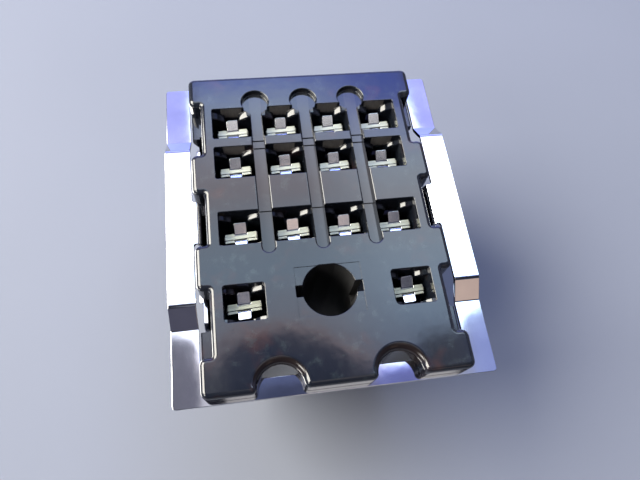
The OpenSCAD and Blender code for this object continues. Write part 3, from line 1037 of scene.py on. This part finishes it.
def area(name, x0, y0, x1, y1, z, colour, radiance, loc=None, aim=None, size=None):
    """A softbox: power is set so that its surface has the given radiance."""
    d = bpy.data.lights.new(name, "AREA")
    d.shape = "RECTANGLE"
    if loc is None:
        loc = Vector(((x0 + x1) / 2, (y0 + y1) / 2, z)) / 1000
        aim = loc - Vector((0, 0, 1))
        size = ((x1 - x0) / 1000, (y1 - y0) / 1000)
    d.size, d.size_y = size
    d.color = colour
    d.energy = radiance * math.pi * size[0] * size[1]
    ob = bpy.data.objects.new(name, d)
    SCENE.collection.objects.link(ob)
    ob.location = loc
    ob.rotation_euler = (Vector(aim) - Vector(loc)).to_track_quat("-Z", "Y").to_euler()
    ob.visible_camera = False
    return ob


def card(name, az, el, dist, w, hgt, colour, radiance, aim=(0, 0, 0.02)):
    """A softbox in the direction (azimuth from +X towards +Y, elevation), facing the part."""
    a, e = math.radians(az), math.radians(el)
    v = Vector((math.cos(a) * math.cos(e), math.sin(a) * math.cos(e), math.sin(e)))
    loc = Vector(aim) + v * dist
    return area(name, 0, 0, 0, 0, 0, colour, radiance, loc=loc, aim=aim, size=(w, hgt))


def ramp_light(ob, left, right, hill, front, span=420.0):
    """Gives the overhead softbox its soft gradients: warmer and dimmer to the front, bluer to the back.
    left and right are lists of (distance towards the back in mm, colour); hill is where the dark front
    zone ends and front its colour, as lists of (distance to the right in mm, value)."""
    d = ob.data
    d.use_nodes = True
    nt = d.node_tree
    em = nt.nodes["Emission"]
    new = nt.nodes.new
    geo = new("ShaderNodeNewGeometry")
    sep = new("ShaderNodeSeparateXYZ")
    nt.links.new(geo.outputs["Position"], sep.inputs[0])

    def calc(op, a, b=None):
        n = new("ShaderNodeMath")
        n.operation = op
        for i, v in enumerate((a, b)):
            if v is None:
                continue
            if isinstance(v, (int, float)):
                n.inputs[i].default_value = v
            else:
                nt.links.new(v, n.inputs[i])
        return n.outputs[0]

    x = calc("MULTIPLY", sep.outputs["X"], 1000.0)
    y = calc("MULTIPLY", sep.outputs["Y"], 1000.0)
    t = calc("DIVIDE", y, span)

    def ramp(stops):
        n = new("ShaderNodeValToRGB")
        el = n.color_ramp.elements
        while len(el) < len(stops):
            el.new(0.5)
        for e, (pos, c) in zip(el, stops):
            e.position = pos / span
            e.color = (c[0] / 8, c[1] / 8, c[2] / 8, 1)
        nt.links.new(t, n.inputs["Fac"])
        return n.outputs["Color"]

    def soft(v, lo, hi):
        n = new("ShaderNodeMapRange")
        n.interpolation_type = "SMOOTHSTEP"
        for k, w in (("From Min", lo), ("From Max", hi)):
            if isinstance(w, (int, float)):
                n.inputs[k].default_value = w
            else:
                nt.links.new(w, n.inputs[k])
        nt.links.new(v, n.inputs["Value"])
        return n.outputs["Result"]

    def mix(f, a, b):
        n = new("ShaderNodeMix")
        n.data_type = "RGBA"
        ins = [i for i in n.inputs if i.enabled]
        for sck, v in zip(ins, (f, a, b)):
            if isinstance(v, tuple):
                sck.default_value = v
            else:
                nt.links.new(v, sck)
        return [o for o in n.outputs if o.enabled][0]

    body = mix(soft(x, 20.0, 100.0), ramp(left), ramp(right))
    # dimmer, bluer corners at the back
    aside = calc("SUBTRACT", calc("ABSOLUTE", calc("SUBTRACT", x, 40.0)), 82.0)
    corner = calc("MULTIPLY", soft(aside, -4.0, 4.0), soft(y, 186.0, 200.0))
    body = mix(corner, body, (0.62 / 8, 0.66 / 8, 1.5 / 8, 1))

    # in front: a dark hill, a gap at its right, and what lies in front of it, all by x
    def by_x(stops, scale):
        n = new("ShaderNodeValToRGB")
        el = n.color_ramp.elements
        while len(el) < len(stops):
            el.new(0.5)
        for e, (pos, c) in zip(el, stops):
            e.position = (pos + 80) / 240
            c = (c, c, c) if isinstance(c, (int, float)) else c
            e.color = tuple(v * scale for v in c) + (1,)
        nt.links.new(calc("DIVIDE", calc("ADD", x, 80.0), 240.0), n.inputs["Fac"])
        return n.outputs["Color"]

    edge = calc("MULTIPLY", by_x(hill, 1 / 100), 100.0)
    over = calc("SUBTRACT", y, edge)
    glow = calc("MULTIPLY", soft(over, -2.0, 2.0), calc("SUBTRACT", 1.0, soft(over, 3.0, 10.0)))
    inner = calc("MULTIPLY", soft(x, -38.0, -28.0), calc("SUBTRACT", 1.0, soft(x, 55.0, 70.0)))
    body = mix(calc("MULTIPLY", glow, calc("MULTIPLY", inner, 0.75)), body, (3.2 / 8, 2.15 / 8, 2.0 / 8, 1))
    # the clip's front bar, which mirrors the nearest strip, is darker still
    near = calc("MULTIPLY", soft(x, -40.0, -30.0), calc("SUBTRACT", 1.0, soft(x, 84.0, 90.0)))
    near = calc("MULTIPLY", near, calc("SUBTRACT", 1.0, soft(y, 24.0, 32.0)))
    zone = mix(calc("MULTIPLY", near, 0.6), by_x(front, 1 / 8), (0.0, 0.0, 0.0, 1))
    col = mix(soft(over, -3.5, 3.5), zone, body)
    nt.links.new(col, em.inputs["Color"])
    em.inputs["Strength"].default_value = 8.0


soft_box = area("softbox_back", -110, -10, 190, 330, 300, (1.0, 1.0, 1.0), 1.0)
ramp_light(
    soft_box,
    left=[(45, (2.3, 2.2, 2.5)), (62, (2.5, 2.6, 3.1)), (100, (2.5, 3.3, 4.2)), (135, (2.8, 3.2, 3.8)),
          (157, (3.15, 2.85, 3.05)), (185, (3.7, 3.7, 4.3)), (225, (3.9, 4.9, 6.9)), (240, (3.4, 4.3, 7.2)),
          (252, (1.7, 2.4, 6.6)), (330, (1.0, 1.4, 4.5))],
    right=[(45, (2.2, 2.8, 4.0)), (60, (2.8, 3.8, 5.2)), (80, (3.5, 4.6, 6.0)), (105, (4.0, 5.0, 6.2)),
           (140, (4.4, 4.5, 5.0)), (170, (4.5, 5.3, 6.3)), (212, (3.0, 3.6, 6.4)), (228, (1.1, 1.5, 4.9)),
           (250, (0.8, 1.2, 5.0)), (330, (0.7, 1.0, 4.0))],
    hill=[(-60, 64), (-47, 60), (-42, 40), (-34, 40), (-29, 49), (-24, 54), (-18, 57), (-7, 58.5), (12, 57), (30, 51), (42, 42.5),
          (52, 35), (58, 33), (66, 32), (80, 32), (86, 38), (92, 46), (106, 47), (118, 47), (125, 58), (140, 62)],
    front=[(-60, (0.20, 0.20, 0.25)), (-46, (0.20, 0.20, 0.26)), (-42, (0.9, 0.9, 1.0)), (-34, (0.9, 0.9, 1.0)), (-27, (0.12, 0.16, 0.34)),
           (40, (0.10, 0.12, 0.26)), (56, (0.5, 0.5, 0.7)), (62, (0.42, 0.48, 1.35)), (84, (0.42, 0.48, 1.35)),
           (92, (0.40, 0.42, 0.5)), (116, (0.40, 0.44, 0.6)), (126, (0.36, 0.44, 0.88)), (150, (0.34, 0.42, 0.88))],
)
card("window_left", 162, 40, 0.45, 0.36, 0.33, (1.0, 0.96, 0.86), 20.0)
card("window_front_left", 210, 33, 0.45, 0.13, 0.14, (1.0, 0.96, 0.88), 16.0)
card("sky_back", 84, 16, 0.60, 0.80, 0.26, (0.24, 0.30, 1.0), 2.6)
card("card_front_right", -64.3, 29.8, 0.40, 0.10, 0.09, (1.0, 0.72, 0.52), 0.66)
card("card_warm", -78, 62, 0.40, 0.06, 0.04, (1.0, 0.62, 0.36), 0.4)
area("fill_front", -60, -250, 120, -100, 300, (0.80, 0.82, 1.0), 0.22)
area("fill_warm", 14, -180, 82, -118, 296, (1.0, 0.78, 0.66), 0.55)
area("fill_top", -30, -83, 112, -40, 300, (1.0, 0.97, 0.97), 1.05)


def world():
    """Dim lavender room, darker towards the front."""
    w = bpy.data.worlds.new("studio")
    SCENE.world = w
    w.use_nodes = True
    nt = w.node_tree
    bg = nt.nodes["Background"]
    tc = nt.nodes.new("ShaderNodeTexCoord")
    sep = nt.nodes.new("ShaderNodeSeparateXYZ")
    nt.links.new(tc.outputs["Generated"], sep.inputs[0])
    mr = nt.nodes.new("ShaderNodeMapRange")
    mr.interpolation_type = "SMOOTHSTEP"
    mr.inputs["From Min"].default_value = -0.75
    mr.inputs["From Max"].default_value = 0.25
    nt.links.new(sep.outputs["Y"], mr.inputs["Value"])
    mx = nt.nodes.new("ShaderNodeMix")
    mx.data_type = "RGBA"
    ins = [i for i in mx.inputs if i.enabled]
    nt.links.new(mr.outputs["Result"], ins[0])
    ins[1].default_value = (0.11, 0.11, 0.16, 1)
    ins[2].default_value = (0.30, 0.32, 0.48, 1)
    room = [o for o in mx.outputs if o.enabled][0]
    # dark overhead, behind the softboxes
    up = nt.nodes.new("ShaderNodeMapRange")
    up.interpolation_type = "SMOOTHSTEP"
    up.inputs["From Min"].default_value = 0.55
    up.inputs["From Max"].default_value = 0.80
    nt.links.new(sep.outputs["Z"], up.inputs["Value"])
    my = nt.nodes.new("ShaderNodeMix")
    my.data_type = "RGBA"
    ins = [i for i in my.inputs if i.enabled]
    nt.links.new(up.outputs["Result"], ins[0])
    nt.links.new(room, ins[1])
    ins[2].default_value = (0.03, 0.033, 0.05, 1)
    nt.links.new([o for o in my.outputs if o.enabled][0], bg.inputs["Color"])
    bg.inputs["Strength"].default_value = 1.0


world()

cam = bpy.data.cameras.new("camera")
cam.lens = 29.64
cam.sensor_width = 36.0
cam.clip_start = 0.002
cam.clip_end = 10.0
co = bpy.data.objects.new("camera", cam)
SCENE.collection.objects.link(co)
right = Vector((0.98854, -0.12888, 0.07861))
down = Vector((-0.08699, -0.91189, -0.40111))
fwd = Vector((0.12338, 0.38968, -0.91265))
rot = Matrix((right, -down, -fwd)).transposed()
co.matrix_world = Matrix.Translation(Vector((-5.523, -19.478, 59.985)) / 1000) @ rot.to_4x4()
SCENE.camera = co

SCENE.view_settings.view_transform = "Standard"
SCENE.view_settings.look = "None"
SCENE.view_settings.exposure = 0.0

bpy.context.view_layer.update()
